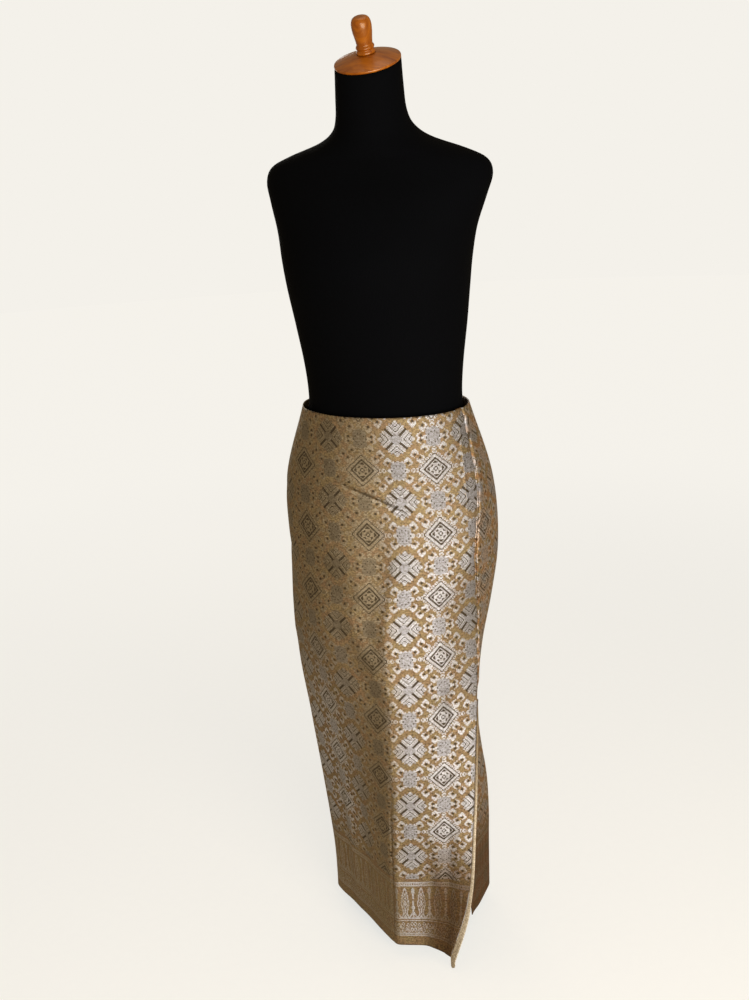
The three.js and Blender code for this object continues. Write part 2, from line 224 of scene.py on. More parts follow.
def steps_to(name):
    """Steps along the outline from the slit edge to this fold."""
    cells = 0
    for fold, values in FOLDS.items():
        if fold == name:
            return cells * STEPS_A_CELL
        cells += values[0]


CREASE_STEP = steps_to("front crease")
SEAM_STEP = steps_to("side seam")
LAP_STEP = steps_to("lap")


def lengths_along(points, zero):
    """The length along the cloth at each point, from the point number zero, growing towards the slit."""
    total = [0.0]
    for start, end in zip(points, points[1:]):
        total.append(total[-1] + (end - start).length)
    return [total[zero] - length for length in total]


# %% Softening the folds
SOFTENING_ROUNDS = 5
HEM_SOFTENING_ROUNDS = 22
HEM_SOFTENING_START = 170
CREASE_FIRMNESS = 0.85
FIRMNESS_LOST_AT_HEM = 0.4
CREASE_REACH = 12


def softened_outline(height):
    """The outline with its folds rounded off, more and more so near the hem."""
    points = outline_at(height)
    lengths = lengths_along(points, CREASE_STEP)
    near_hem = share(height, HEM_SOFTENING_START, HEM_HEIGHT)
    firmness = CREASE_FIRMNESS * (1 - FIRMNESS_LOST_AT_HEM * near_hem)
    rounds = SOFTENING_ROUNDS + near_hem * (HEM_SOFTENING_ROUNDS - SOFTENING_ROUNDS)
    strength = 0.5 * rounds / HEM_SOFTENING_ROUNDS
    for turn in range(HEM_SOFTENING_ROUNDS):
        moved = list(points)
        for index in range(1, len(points) - 1):
            firm = firmness * math.exp(-(lengths[index] / CREASE_REACH) ** 2)
            middle = (points[index - 1] + points[index + 1]) / 2
            moved[index] = points[index].lerp(middle, strength * (1 - firm))
        points = moved
    return points


def outwards(points, index):
    along = points[min(index + 1, len(points) - 1)] - points[max(index - 1, 0)]
    along.normalize()
    return Vector((-along.y, along.x))


def waist_dip(y, height):
    t = share(height, HIGH_HIP_HEIGHT, WAIST_HEIGHT)
    frontness = share(y, OVALS[0][1], -OVALS[0][1])
    return -WAIST_DIP * t * t * (3 - 2 * t) * frontness


hem_line = outline_at(HEM_HEIGHT)
print("the hem is", round(lengths_along(hem_line, 0)[-1] * -1), "mm round")

# %% [markdown]
# ## Creases placed one by one
# Songket is stiff, because flat metal strips run in it, and it keeps creases. Each crease is one short line
# on the cloth, with its own width and depth: a trough has a depth below zero, a ridge above it. Lengths
# across are counted from the front crease towards the slit, and on the back from the centre back. This table
# is easier to judge against the cloth than a noise pattern, because each line can be moved alone.

# %% Creases of the front panel
# across and height where it starts, the same where it ends, width, depth, sideways bow
FRONT_CREASES = (
    (-78, 822, 14, 784, 2.6, -3.4, 2),
    (-84, 834, 8, 797, 8, 2.8, 2),
    (-60, 806, 24, 772, 8, -1.4, 3),
    (-96, 640, -6, 432, 15, -1.5, -8),
    (-70, 655, 22, 452, 13, 1.7, -8),
    (101, 918, 102, 772, 2.6, 1.0, 1),
    (-150, 700, -60, 640, 16, -1.8, 6),
    (-130, 905, -40, 850, 12, -1.2, 5),
    (-50, 880, 40, 846, 12, 1.0, 4),
    (-2, 345, -9, 22, 2.4, -2.4, 0),
    (8, 360, 3, 24, 5, 1.6, 0),
    (92, 500, 106, 420, 10, -3.0, -4),
    (60, 470, 96, 440, 9, -1.6, 3),
    (70, 760, 98, 690, 10, -1.0, 4),
    (-124, 330, -118, 20, 14, 2.6, -4),
    (-150, 360, -148, 22, 12, -2.4, 4),
    (-88, 300, -80, 24, 14, -2.2, 3),
    (-215, 560, -190, 380, 15, -2.4, 6),
    (-250, 500, -225, 300, 13, 2.0, 5),
    (-225, 300, -206, 22, 14, -2.6, 3),
    (-180, 250, -176, 22, 12, 1.8, -2),
    (-240, 800, -160, 760, 12, -1.4, 5),
    (-270, 720, -200, 690, 12, -1.2, 4),
    (40, 640, 96, 600, 13, -1.0, 5),
    (48, 240, 70, 24, 9, -1.8, 3),
    (88, 350, 80, 14, 12, -4.6, 2),
    (40, 760, 30, 520, 26, -2.4, 4),
    (-34, 772, -30, 470, 24, -2.6, 3),
    (-8, 742, -4, 500, 7, 1.2, 0),
)

# %% Creases of the back panel
BACK_CREASES = (
    (-60, 812, 70, 776, 6, -2.2, 8),
    (-48, 824, 62, 790, 9, 1.6, 8),
    (-110, 700, 20, 640, 14, -2.2, -9),
    (60, 742, 170, 700, 11, -1.6, 7),
    (30, 690, 150, 560, 16, -2.2, -10),
    (-150, 620, -30, 540, 15, -1.8, 8),
    (-20, 560, 14, 300, 16, -2.8, -6),
    (8, 540, 46, 290, 13, 2.0, -6),
    (-120, 470, -84, 180, 15, -2.4, 7),
    (84, 480, 96, 180, 15, -2.2, -6),
    (-60, 300, -52, 20, 13, -2.2, 3),
    (26, 260, 30, 20, 12, -2.0, -3),
    (118, 330, 120, 20, 13, -2.4, 4),
    (150, 240, 152, 20, 11, 1.6, 2),
    (-150, 300, -146, 20, 12, 1.8, 3),
    (-30, 900, 30, 870, 12, -1.0, 4),
)
print(len(FRONT_CREASES), "creases in front,", len(BACK_CREASES), "behind")

# %% How far the creases move a point
SEAM_RIPPLE = 0.55
SEAM_RIPPLE_PITCH = 31
SEAM_RIPPLE_DRIFT = 57
SEAM_RIPPLE_REACH = 16
SEAM_HOLD = 14
EDGE_SINK = 0.8
EDGE_REACH = 6
STRIP_TOP = 470


def crease_depth(creases, across, height):
    """How far outwards the creases move the cloth at one place, in millimetres."""
    depth = 0.0
    for start_across, start_height, end_across, end_height, width, deep, bow in creases:
        run = Vector((end_across - start_across, end_height - start_height))
        to_point = Vector((across - start_across, height - start_height))
        along = to_point.dot(run) / run.length_squared
        if not 0 < along < 1:
            continue
        swell = math.sin(math.pi * along)
        aside = (run.x * to_point.y - run.y * to_point.x) / run.length - bow * swell
        if abs(aside) < 3 * width:
            depth += deep * math.sqrt(swell) * math.exp(-(aside / width) ** 2)
    return depth


def seam_ripple(distance, height):
    """The small waves that sewing draws up beside a seam, uneven in length."""
    near = math.exp(-distance / SEAM_RIPPLE_REACH)
    wave = math.sin(2 * math.pi * height / SEAM_RIPPLE_PITCH + 1.7 * math.sin(height / SEAM_RIPPLE_DRIFT))
    return SEAM_RIPPLE * near * wave


# %% [markdown]
# ## A sheet of cloth
# Each panel starts as a flat grid, as the cloth did before it was sewn. Every point of the grid is then put
# on the outline at its height and moved by the creases. The flat place of each point is kept as the UV map,
# in metres, so the woven pattern follows the cloth and not the space round it. A Solidify modifier gives the
# thickness at the end.

# %% Where the woven pattern lies on the cloth
# The motif columns run straight down the cloth, and the front crease drifts a little across them.
GRAIN_HEIGHTS = (922, 700, 607, 505, 25)
GRAIN_DRIFT = (6, 8, 22, 28, 28)
# The length down the cloth is a little more than the height that it covers.
DOWN_HEIGHTS = (922, 892, 802, 706, 607, 505, 400, 298, 202, 25)
DOWN_LENGTHS = (0, 30, 129, 228, 327, 426, 525, 624, 723, 903)

# %% Helpers for sheets of cloth


def add_piece(made, name):
    """Writes a bmesh into a new smooth mesh and puts that in the scene."""
    mesh = bpy.data.meshes.new(name)
    made.to_mesh(mesh)
    made.free()
    mesh.shade_smooth()
    piece = bpy.data.objects.new(name, mesh)
    bpy.context.collection.objects.link(piece)
    return piece


def grid_of_cloth(columns, rows):
    """A flat grid, each of its points with its column and its row from the top."""
    cloth = bmesh.new()
    bmesh.ops.create_grid(cloth, x_segments=columns, y_segments=rows, size=0.5)
    wide = max(vert.co.x for vert in cloth.verts)
    places = {vert: (round((vert.co.x / wide + 1) / 2 * columns), round((1 - vert.co.y / wide) / 2 * rows))
              for vert in cloth.verts}
    return cloth, places


def finish_cloth(cloth, name, flat_places, wall):
    """Writes the UV map, turns the faces outwards and gives the wall its thickness."""
    bmesh.ops.reverse_faces(cloth, faces=cloth.faces)
    cloth_map = cloth.loops.layers.uv.new("cloth")
    for loop in (loop for face in cloth.faces for loop in face.loops):
        loop[cloth_map].uv = flat_places[loop.vert]
    piece = add_piece(cloth, name)
    thickness = piece.modifiers.new("wall", "SOLIDIFY")
    thickness.thickness = wall * MM
    thickness.offset = -1
    return piece


# %% The two panels
# Rows are closer where the sharp crease crosses them: each pair is a height and the rows above it.
FRONT_ROWS = ((922, 0), (838, 25), (766, 80), (25, 285))
BACK_ROWS = ((922, 0), (25, 225))


def row_heights(marks):
    heights = [marks[0][0]]
    for (top, above), (bottom, below) in zip(marks, marks[1:]):
        rows = below - above
        heights += [top + (bottom - top) * (row + 1) / rows for row in range(rows)]
    return heights


def panel(name, first, last, zero, rows, creases):
    """One panel between two steps of the outline, with its pattern counted from the step zero.

    The back's map is turned round, so that on both panels it grows towards the lap."""
    columns = last - first
    side = 1 if first == 0 else -1
    cloth, places = grid_of_cloth(columns, rows[-1][1])
    lines = []
    for height in row_heights(rows):
        points = softened_outline(height)
        lines.append((height, points, lengths_along(points, zero)))
    flat_places = {}
    for vert, (column, row) in places.items():
        height, points, lengths = lines[row]
        index = first + column
        across = lengths[index]
        out = outwards(points, index)
        from_lap = min(abs(across - lengths[0]), abs(across - lengths[LAP_STEP]))
        moved = crease_depth(creases, across, height) * min(from_lap / SEAM_HOLD, 1)
        moved += seam_ripple(from_lap, height)
        if first == 0 and height > STRIP_TOP:
            moved -= EDGE_SINK * math.exp(-(from_lap / EDGE_REACH) ** 2)
        place = points[index] + out * moved
        if index == SEAM_STEP:
            inner = points[first + (1 if first == SEAM_STEP else columns - 1)]
            place += (inner - place).normalized() * SEAM_GAP / 2
        rise = height + waist_dip(points[index].y, height)
        vert.co = Vector((place.x, place.y, rise)) * MM
        drift = even_value(GRAIN_DRIFT, height, GRAIN_HEIGHTS)
        down = even_value(DOWN_LENGTHS, height, DOWN_HEIGHTS)
        flat_places[vert] = (side * (across - drift) * MM, -down * MM)
    return finish_cloth(cloth, name, flat_places, CLOTH_WALL)


front = panel("skirt_front_cloth", 0, SEAM_STEP, CREASE_STEP, FRONT_ROWS, FRONT_CREASES)
last_step = steps_to("lap edge")
back = panel("skirt_back_cloth", SEAM_STEP, last_step, steps_to("centre back"), BACK_ROWS, BACK_CREASES)
for cloth_panel in (front, back):
    print(cloth_panel.name, len(cloth_panel.data.polygons), "faces before the wall is given")

# %% [markdown]
# ## The strip along the slit
# The free edge of the front panel is bound by a narrow strip of the same cloth. It grows wider towards the
# hem, turns a little forward and ends below it in a rounded tab. It is a grid again, laid off from the slit
# edge of the outline, and its middle is raised a little, because a folded strip is thicker there.

# %% Slit strip
STRIP_HEIGHTS = (STRIP_TOP, 250, 120, 70, HEM_HEIGHT)
STRIP_WIDTHS = (3, 4, 6, 10, 13)
STRIP_TURNS = (0.1, 0.2, 0.3, 0.3, 0.35)
STRIP_GAP = 0.6
STRIP_WALL = 2.0
STRIP_BULGE = 0.9
STRIP_RUN_OUT = 45
STRIP_START_SHARE = 0.2
STRIP_END_ROUND = 4
TAB_LENGTH = 18
TAB_TAPER = 0.45
STRIP_COLUMNS = 10
STRIP_ROWS = 150


def strip_row(height):
    """The slit edge, the two directions and the sizes of the strip at one height."""
    on_panel = max(height, HEM_HEIGHT)
    line = softened_outline(on_panel)
    away = (line[0] - line[1]).normalized()
    forward = Vector((away.y, -away.x))
    width = even_value(STRIP_WIDTHS, on_panel, STRIP_HEIGHTS)
    turn = even_value(STRIP_TURNS, on_panel, STRIP_HEIGHTS)
    in_tab = max((HEM_HEIGHT - height) / TAB_LENGTH, 0)
    opened = STRIP_START_SHARE + (1 - STRIP_START_SHARE) * min((STRIP_TOP - height) / STRIP_RUN_OUT, 1)
    narrowed = (1 - TAB_TAPER * in_tab * in_tab) * opened
    return line[0], away, forward, width, turn, narrowed


def slit_strip():
    cloth, places = grid_of_cloth(STRIP_COLUMNS, STRIP_ROWS)
    heights = [STRIP_TOP + (HEM_HEIGHT - TAB_LENGTH - STRIP_TOP) * row / STRIP_ROWS
               for row in range(STRIP_ROWS + 1)]
    rows = [strip_row(height) for height in heights]
    flat_places = {}
    for vert, (column, row) in places.items():
        edge, away, forward, width, turn, narrowed = rows[row]
        outer = 1 - column / STRIP_COLUMNS
        across = STRIP_GAP + width * narrowed * outer
        lift = turn * across * across / width
        bulge = STRIP_BULGE * math.sin(math.pi * min(max(outer, 0.02), 0.98))
        place = edge + away * across + forward * (lift + bulge - STRIP_BULGE / 2)
        corner = abs(2 * outer - 1)
        end_rise = STRIP_END_ROUND * (1 - math.sqrt(max(1 - corner**2, 0))) if row == STRIP_ROWS else 0
        vert.co = Vector((place.x, place.y, heights[row] + end_rise)) * MM
        flat_places[vert] = (across * MM, (heights[row] - WAIST_HEIGHT) * MM)
    return finish_cloth(cloth, "slit_strip_cloth", flat_places, STRIP_WALL - STRIP_BULGE)


strip = slit_strip()
print(strip.name, len(strip.data.polygons), "faces before the wall is given")

# %% [markdown]
# ## Hand stitches
# The lapped seam was closed by hand, and short stitches hold the strip's edge. One stitch is a small round
# thread that dips into the cloth at both ends. It is spun as a short half ring with few faces, copied along
# the seam and joined to one mesh, so that hundreds of them stay one light piece.

# %% Stitches along the lapped seam
STITCH_LENGTH = 3.4
STITCH_PITCH = 7.5
THREAD_RADIUS = 0.32
STITCH_SIDES = 6
STITCH_STEPS = 5
STITCH_ARCH = math.radians(110)
# How deep a stitch's ends and the centre of its arch lie, as shares of its length.
STITCH_DIP = 0.12
STITCH_CENTRE = 0.42


def add_stitch(thread, middle, along, out):
    """One stitch: a small circle swept over a low arch."""
    side = along.cross(out).normalized()
    axes = Matrix((side, out, along)).transposed().to_4x4()
    ring = bmesh.ops.create_circle(thread, cap_ends=False, segments=STITCH_SIDES, radius=THREAD_RADIUS * MM)
    verts = ring["verts"]
    bmesh.ops.transform(thread, matrix=Matrix.Translation(middle) @ axes, verts=verts)
    span = STITCH_LENGTH * MM
    bmesh.ops.translate(thread, vec=-along * span / 2 - out * span * STITCH_DIP, verts=verts)
    edges = list({edge for vert in verts for edge in vert.link_edges})
    bmesh.ops.spin(thread, geom=verts + edges, cent=middle - out * span * STITCH_CENTRE, axis=side,
                   angle=-STITCH_ARCH, steps=STITCH_STEPS, dvec=(0, 0, 0), use_merge=False)


def seam_frame(height, across):
    """A place on the front panel, and the direction out of the cloth there."""
    line = softened_outline(height)
    lengths = lengths_along(line, CREASE_STEP)
    index = next(number for number, length in enumerate(lengths) if length < across)
    past = share(across, lengths[index], lengths[index - 1])
    out = outwards(line, index)
    place = line[index].lerp(line[index - 1], past) + out * crease_depth(FRONT_CREASES, across, height)
    rise = height + waist_dip(place.y, height)
    return Vector((place.x, place.y, rise)) * MM, Vector((out.x, out.y, 0))


def stitches(name, top, bottom, across, raised):
    thread = bmesh.new()
    count = int((top - bottom) / STITCH_PITCH)
    for number in range(count):
        height = top - STITCH_PITCH * (number + 0.5) - 0.8 * math.sin(2.3 * number)
        middle, out = seam_frame(height, across + 0.5 * math.sin(1.7 * number))
        below, out_below = seam_frame(height - STITCH_LENGTH, across)
        add_stitch(thread, middle + out * raised * MM, (below - middle).normalized(), out)
    bmesh.ops.holes_fill(thread, edges=thread.edges, sides=STITCH_SIDES)
    bmesh.ops.recalc_face_normals(thread, faces=thread.faces)
    return add_piece(thread, name), count


seam_stitches, seam_count = stitches("lap_seam_stitches", 914, 770, 101.5, 0.3)
print(seam_count, "stitches on the lapped seam")

# %% [markdown]
# ## The dress form's torso
# The torso is a stuffed body in black jersey, with no arms or legs. It is lofted: a ring is drawn for the
# flat base and extruded upwards again and again, and each new ring is widened or narrowed to the body's
# measure there. The neck's rings lean forward, as the cap on top of them does.

# %% Sections of the torso, in millimetres
NECK_TILT = 23
NECK_TOP = 1389
NECK_FORWARD = 4
TORSO_SEGMENTS = 96
STEPS_BETWEEN_SECTIONS = 5

# height, half width, half depth, place towards the back, lean in degrees
TORSO_SECTIONS = (
    (652, 122, 86, 0, 0), (655, 131, 93, 0, 0), (668, 139, 99, 0, 0), (710, 146, 105, 1, 0),
    (760, 148, 106, 1, 0), (810, 144, 101, 0, 0), (865, 130, 92, 0, 0), (905, 118, 85, 0, 0),
    (935, 115, 83, 0, 0), (980, 118, 87, 0, 0), (1040, 126, 97, -2, 0), (1090, 132, 108, -6, 0),
    (1130, 137, 109, -7, 0), (1170, 144, 101, -2, 0), (1210, 157, 88, 6, 0), (1238, 165, 74, 12, 0),
    (1258, 157, 66, 14, 0), (1272, 128, 61, 12, 4), (1288, 80, 56, 6, 9), (1304, 57, 51, 2, 14),
    (1324, 49, 48, -1, 18), (1352, 47, 46, -3, 22), (NECK_TOP, 45.5, 44.5, -NECK_FORWARD, NECK_TILT),
)


# %% Lofting the torso


def torso_rings():
    """More rings between the sections of the table, on a smooth curve through them."""
    table = [Vector(section) for section in TORSO_SECTIONS]
    steps = [STEPS_BETWEEN_SECTIONS] * (len(table) - 1)
    runs = through_points(table, steps, 2 * table[0] - table[1], 2 * table[-1] - table[-2])
    return [point for run in runs for t, point in run] + [table[-1]]


def place_ring(turns, section):
    height, half_width, half_depth, back, lean = section
    for vert, turn in turns.items():
        y = half_depth * math.sin(turn)
        rise = y * math.tan(math.radians(lean))
        vert.co = Vector((half_width * math.cos(turn), y + back, height + rise)) * MM


def torso():
    body = bmesh.new()
    ring = bmesh.ops.create_circle(body, cap_ends=True, segments=TORSO_SEGMENTS, radius=1)["verts"]
    turns = {vert: math.atan2(vert.co.y, vert.co.x) for vert in ring}
    edges = list(body.edges)
    sections = torso_rings()
    place_ring(turns, sections[0])
    for section in sections[1:]:
        pulled = bmesh.ops.extrude_edge_only(body, edges=edges)["geom"]
        edges = [item for item in pulled if isinstance(item, bmesh.types.BMEdge)]
        new_turns = {}
        for vert in (item for item in pulled if isinstance(item, bmesh.types.BMVert)):
            below = next(edge.other_vert(vert) for edge in vert.link_edges if edge.other_vert(vert) in turns)
            new_turns[vert] = turns[below]
        turns = new_turns
        place_ring(turns, section)
    bmesh.ops.contextual_create(body, geom=edges)
    bmesh.ops.recalc_face_normals(body, faces=body.faces)
    return add_piece(body, "form_torso_jersey")


torso_piece = torso()
print(torso_piece.name, len(torso_piece.data.polygons), "faces")

# %% [markdown]
# ## Turned pieces
# The cap and its knob are turned on a lathe from wood. In Blender a lathe is the spin operator: half of the
# outline is drawn once as a chain of edges and swept once round the axis. A smooth curve through the drawn
# points gives rounded shoulders, and a point that is given twice stays a sharp corner.

# %% Turning on a lathe
CURVE_STEPS = 4


def rounded_outline(outline):
    """More points on a smooth curve through the outline. A point that is given twice stays a corner."""
    table = [Vector(point) for point in outline]
    spans = [max((end - start).length, 0.001) for start, end in zip(table, table[1:])]
    chords = [(end - start) / span for start, end, span in zip(table, table[1:], spans)]
    slopes = [chords[0]]
    for index in range(1, len(chords)):
        before, after = spans[index - 1], spans[index]
        slopes.append((chords[index - 1] * after + chords[index] * before) / (before + after))
    slopes.append(chords[-1])
    points = []
    for index, span in enumerate(spans):
        for step in range(CURVE_STEPS):
            points.append(eased(table[index], table[index + 1], span * slopes[index],
                                span * slopes[index + 1], step / CURVE_STEPS))
    points.append(table[-1])
    return points


def turned_piece(name, outline, segments, placing):
    """Spins an outline of (radius, height) pairs in millimetres, then moves it to its place."""
    rows = rounded_outline(outline)
    wood = bmesh.new()
    points = [(max(row.x, 0) * MM, 0, row.y * MM) for row in rows]
    last = wood.verts.new(points[0])
    for point in points[1:]:
        last = bmesh.ops.extrude_vert_indiv(wood, verts=[last])["verts"][0]
        last.co = point
    bmesh.ops.spin(wood, geom=wood.verts[:] + wood.edges[:], cent=(0, 0, 0), axis=(0, 0, 1), dvec=(0, 0, 0),
                   angle=2 * math.pi, steps=segments, use_merge=True)
    bmesh.ops.remove_doubles(wood, verts=wood.verts, dist=0.00002)
    bmesh.ops.recalc_face_normals(wood, faces=wood.faces)
    bmesh.ops.transform(wood, matrix=placing, verts=wood.verts)
    return add_piece(wood, name)


def lean_placing(height):
    neck = Vector((0, -NECK_FORWARD, NECK_TOP)) * MM
    lean = Euler((math.radians(NECK_TILT), 0, 0)).to_matrix().to_4x4()
    return Matrix.Translation(neck) @ lean @ Matrix.Translation((0, 0, height * MM))


# %% Cap and knob
CAP_THICKNESS = 12.4
CAP_OUTLINE = (
    (0, 0), (0, 0), (45, 0), (45, 0), (45.7, 0.4), (46, 1.2), (46, 2.5), (45.7, 3.2), (44.8, 3.6),
    (44.8, 3.6), (38.6, 5.7), (31.8, 7.9), (25, 9.8), (19.1, 11.4), (15.6, 12.2),
    (13.8, CAP_THICKNESS), (13.8, CAP_THICKNESS), (0, CAP_THICKNESS),
)
KNOB_OUTLINE = (
    (0, 0), (0, 0), (12.4, 0), (12.4, 0), (13.1, 0.6), (13.3, 1.7), (12.7, 3.4), (11.5, 4.6), (11.3, 5.3),
    (11.9, 6.2), (12.7, 7.4), (12.7, 9), (11.8, 10.3), (11.1, 11.6), (11.3, 14.5), (12.1, 20), (13.1, 26),
    (13.7, 32), (13.8, 37), (13, 42), (10.6, 46), (7.2, 47.8), (3.4, 48.4), (0, 48.5),
)
cap_piece = turned_piece("form_cap_turned", CAP_OUTLINE, 96, lean_placing(SEAM_GAP))
knob_piece = turned_piece("form_knob_turned", KNOB_OUTLINE, 64, lean_placing(CAP_THICKNESS + 2 * SEAM_GAP))
print("cap and knob:", len(cap_piece.data.polygons), "and", len(knob_piece.data.polygons), "faces")

# %% Pole and foot
STAND_BACK = 44
FOOT_THICKNESS = 12
FOOT_OUTLINE = (
    (0, 0), (0, 0), (64, 0), (64, 0), (64.8, 0.4), (65, 1.2), (65, 1.2), (65, 10), (65, 10), (64.4, 11.5),
    (63, FOOT_THICKNESS), (63, FOOT_THICKNESS), (0, FOOT_THICKNESS),
)
POLE_LENGTH = TORSO_SECTIONS[0][0] - FOOT_THICKNESS - 2 * SEAM_GAP
POLE_OUTLINE = (
    (0, 0), (0, 0), (11.9, 0), (11.9, 0), (12.5, 0.7), (12.5, 0.7), (12.5, POLE_LENGTH - 0.7),
    (12.5, POLE_LENGTH - 0.7), (11.9, POLE_LENGTH), (11.9, POLE_LENGTH), (0, POLE_LENGTH),
)
foot_place = Matrix.Translation((0, STAND_BACK * MM, 0))
pole_place = Matrix.Translation((0, STAND_BACK * MM, (FOOT_THICKNESS + SEAM_GAP) * MM))
foot_piece = turned_piece("form_foot_plate", FOOT_OUTLINE, 96, foot_place)
pole_piece = turned_piece("form_pole_tube", POLE_OUTLINE, 48, pole_place)
print("the pole is", round(POLE_LENGTH), "mm long")

# %% [markdown]
# ## Materials
# Every finish is a Principled shader whose colour, roughness and bump come from small node groups. A helper
# adds and joins nodes, so that each group reads as a short list of steps.

# %% Helpers for nodes


class Graph:
    """Adds nodes to one node tree and joins them."""

    def __init__(self, tree):
        self.tree = tree

    def node(self, kind, **settings):
        added = self.tree.nodes.new(kind)
        for name, value in settings.items():
            setattr(added, name, value)
        return added

    def join(self, value, socket):
        if isinstance(value, bpy.types.NodeSocket):
            self.tree.links.new(value, socket)
        else:
            socket.default_value = value

    def maths(self, operation, *values, clamp=False):
        added = self.node("ShaderNodeMath", operation=operation, use_clamp=clamp)
        for value, socket in zip(values, added.inputs):
            self.join(value, socket)
        return added.outputs[0]

    def times(self, first, second, plus=None):
        if plus is None:
            return self.maths("MULTIPLY", first, second)
        return self.maths("MULTIPLY_ADD", first, second, plus)

    def mix(self, factor, first, second, blend="MIX"):
        added = self.node("ShaderNodeMix", data_type="RGBA", blend_type=blend)
        self.join(factor, added.inputs[0])
        self.join(first, added.inputs[6])
        self.join(second, added.inputs[7])
        return added.outputs[2]

    def tinted(self, colour, tint):
        return self.mix(1.0, colour, tint, blend="MULTIPLY")

    def contrast(self, value, low, gain):
        return self.maths("MULTIPLY", self.maths("SUBTRACT", value, low), gain, clamp=True)

    def smooth_step(self, value, start, end):
        """Zero before start, one after end, with a soft change between them."""
        added = self.node("ShaderNodeMapRange", interpolation_type="SMOOTHSTEP")
        self.join(value, added.inputs[0])
        added.inputs[1].default_value = start
        added.inputs[2].default_value = end
        return added.outputs[0]

    def split(self, vector):
        added = self.node("ShaderNodeSeparateXYZ")
        self.join(vector, added.inputs[0])
        return added.outputs

    def joined(self, x, y):
        added = self.node("ShaderNodeCombineXYZ")
        self.join(x, added.inputs[0])
        self.join(y, added.inputs[1])
        return added.outputs[0]

    def noise(self, place, scale, detail=2.0, roughness=0.5):
        added = self.node("ShaderNodeTexNoise")
        self.join(place, added.inputs["Vector"])
        added.inputs["Scale"].default_value = scale
        added.inputs["Detail"].default_value = detail
        added.inputs["Roughness"].default_value = roughness
        return added.outputs[0]


# %% Helpers for groups and finishes
FLOAT = "NodeSocketFloat"
ON_CLOTH = {"across": (FLOAT, 0.0), "down": (FLOAT, 0.0)}


def new_group(name, inputs, outputs):
    """A shader node group with named sockets: inputs maps a name to its kind and value."""
    tree = bpy.data.node_groups.new(name, "ShaderNodeTree")
    for socket, (kind, value) in inputs.items():
        made = tree.interface.new_socket(socket, in_out="INPUT", socket_type=kind)
        made.default_value = value
    for socket, kind in outputs.items():
        tree.interface.new_socket(socket, in_out="OUTPUT", socket_type=kind)
    graph = Graph(tree)
    return graph, graph.node("NodeGroupInput").outputs, graph.node("NodeGroupOutput").inputs


def use_group(graph, tree, **values):
    added = graph.node("ShaderNodeGroup", node_tree=tree)
    for name, value in values.items():
        graph.join(value, added.inputs[name])
    return added.outputs


def new_material(name, **settings):
    """A material with its Principled shader, whose constants are set on its own sockets."""
    material = bpy.data.materials.new(name)
    material.use_nodes = True
    shader = material.node_tree.nodes["Principled BSDF"]
    for socket, value in settings.items():
        shader.inputs[socket.replace("_", " ")].default_value = value
    return material, Graph(material.node_tree), shader


def surface(graph, shader, colour, rough, height, strength, distance):
    """Joins a finish's colour, roughness and relief to its shader, and the relief through a bump."""
    graph.join(colour, shader.inputs["Base Color"])
    graph.join(rough, shader.inputs["Roughness"])
    bump = graph.node("ShaderNodeBump")
    bump.inputs["Strength"].default_value = strength
    bump.inputs["Distance"].default_value = distance
    graph.join(height, bump.inputs["Height"])
    graph.join(bump.outputs[0], shader.inputs["Normal"])


def object_place(graph):
    return graph.node("ShaderNodeTexCoord").outputs["Object"]


# %% [markdown]
# ## Charts for the weaver
# A songket weaver follows a chart on squared paper. Each square says how the metal thread lies there: on top
# and bright, loosely woven and soft, or behind a dark line of bare cloth. The field's quarter repeat is
# mirrored both ways, so one chart holds a quarter of a large star, a quarter of a diamond and two quarters of
# a small rosette. Each motif has its own rule, which counts squares from the middle of the motif. A colour
# ramp then keeps one stop for each row, and the row's squares are packed in three whole numbers.

# %% The motifs of the field
FIELD_COLUMNS = 30
FIELD_ROWS = 28
SQUARES_A_NUMBER = 10
METAL = "#"
SOFT = "+"
DARK = "o"
GROUND = "."
FLORET_EYES = ((5, 0), (6, 0), (0, 5), (0, 6), (5, 1), (1, 5), (3, 2), (2, 3), (2, 2), (1, 0), (0, 1))


def star_square(x, y):
    """A large star: nested chevrons in four arms, with a dark cross between the arms."""
    aside = abs(x - y)
    if x + y <= 4:
        return SOFT
    ragged = 1 if aside % 4 == 0 else 0
    if max(x, y) + 0.85 * min(x, y) > 14.5 + ragged:
        return GROUND
    if aside <= 1:
        return DARK if max(x, y) <= 8 else SOFT if aside else GROUND
    if aside in (6, 10):
        return DARK
    return SOFT if aside in (3, 8, 12) else METAL


def diamond_square(x, y):
    """A diamond: rays round a thick line, and a floret with dark eyes in the middle."""
    far = x + y
    if far in (8, 9, 13):
        return DARK
    if far in (10, 11, 12):
        return METAL
    if far > 13:
        ray = far < 17 or min(x, y) <= 1 and far < 20
        return METAL if ray and (x - y) % 3 else GROUND
    return DARK if (x, y) in FLORET_EYES else METAL


def rosette_square(x, y):
    """A small rosette: a soft dotted body with a bright tip at each side."""
    if y <= 1 and x + y in (6, 7, 8) or (x, y) in ((3, 7), (4, 7), (3, 8), (0, 8)):
        return METAL
    if x > 5 or y > 7 or x + y > 10:
        return GROUND
    return DARK if x % 2 and y < 5 and (x + y) % 5 == 0 else SOFT


# %% The leaves and the field's chart
# Small hooked leaves fill the ground between the motifs: each place says how the leaf is turned.
LEAF = (
    "..##...",
    ".####..",
    "######.",
    "###.##.",
    "#.oo.##",
    "..oo.##",
    "....##.",
    "...#...",
)
LEAF_PLACES = ((19, 5, 1, 1), (10, 9, -1, 1), (5, 16, 1, 1), (15, 14, 1, -1), (16, -3, -1, 1))


def leaf_square(column, row):
    for left, top, sideways, upright in LEAF_PLACES:
        across, down = column - left, row - top
        if 0 <= across < len(LEAF[0]) and 0 <= down < len(LEAF):
            square = LEAF[::upright][down][::sideways][across]
            if square != GROUND:
                return square
    return GROUND


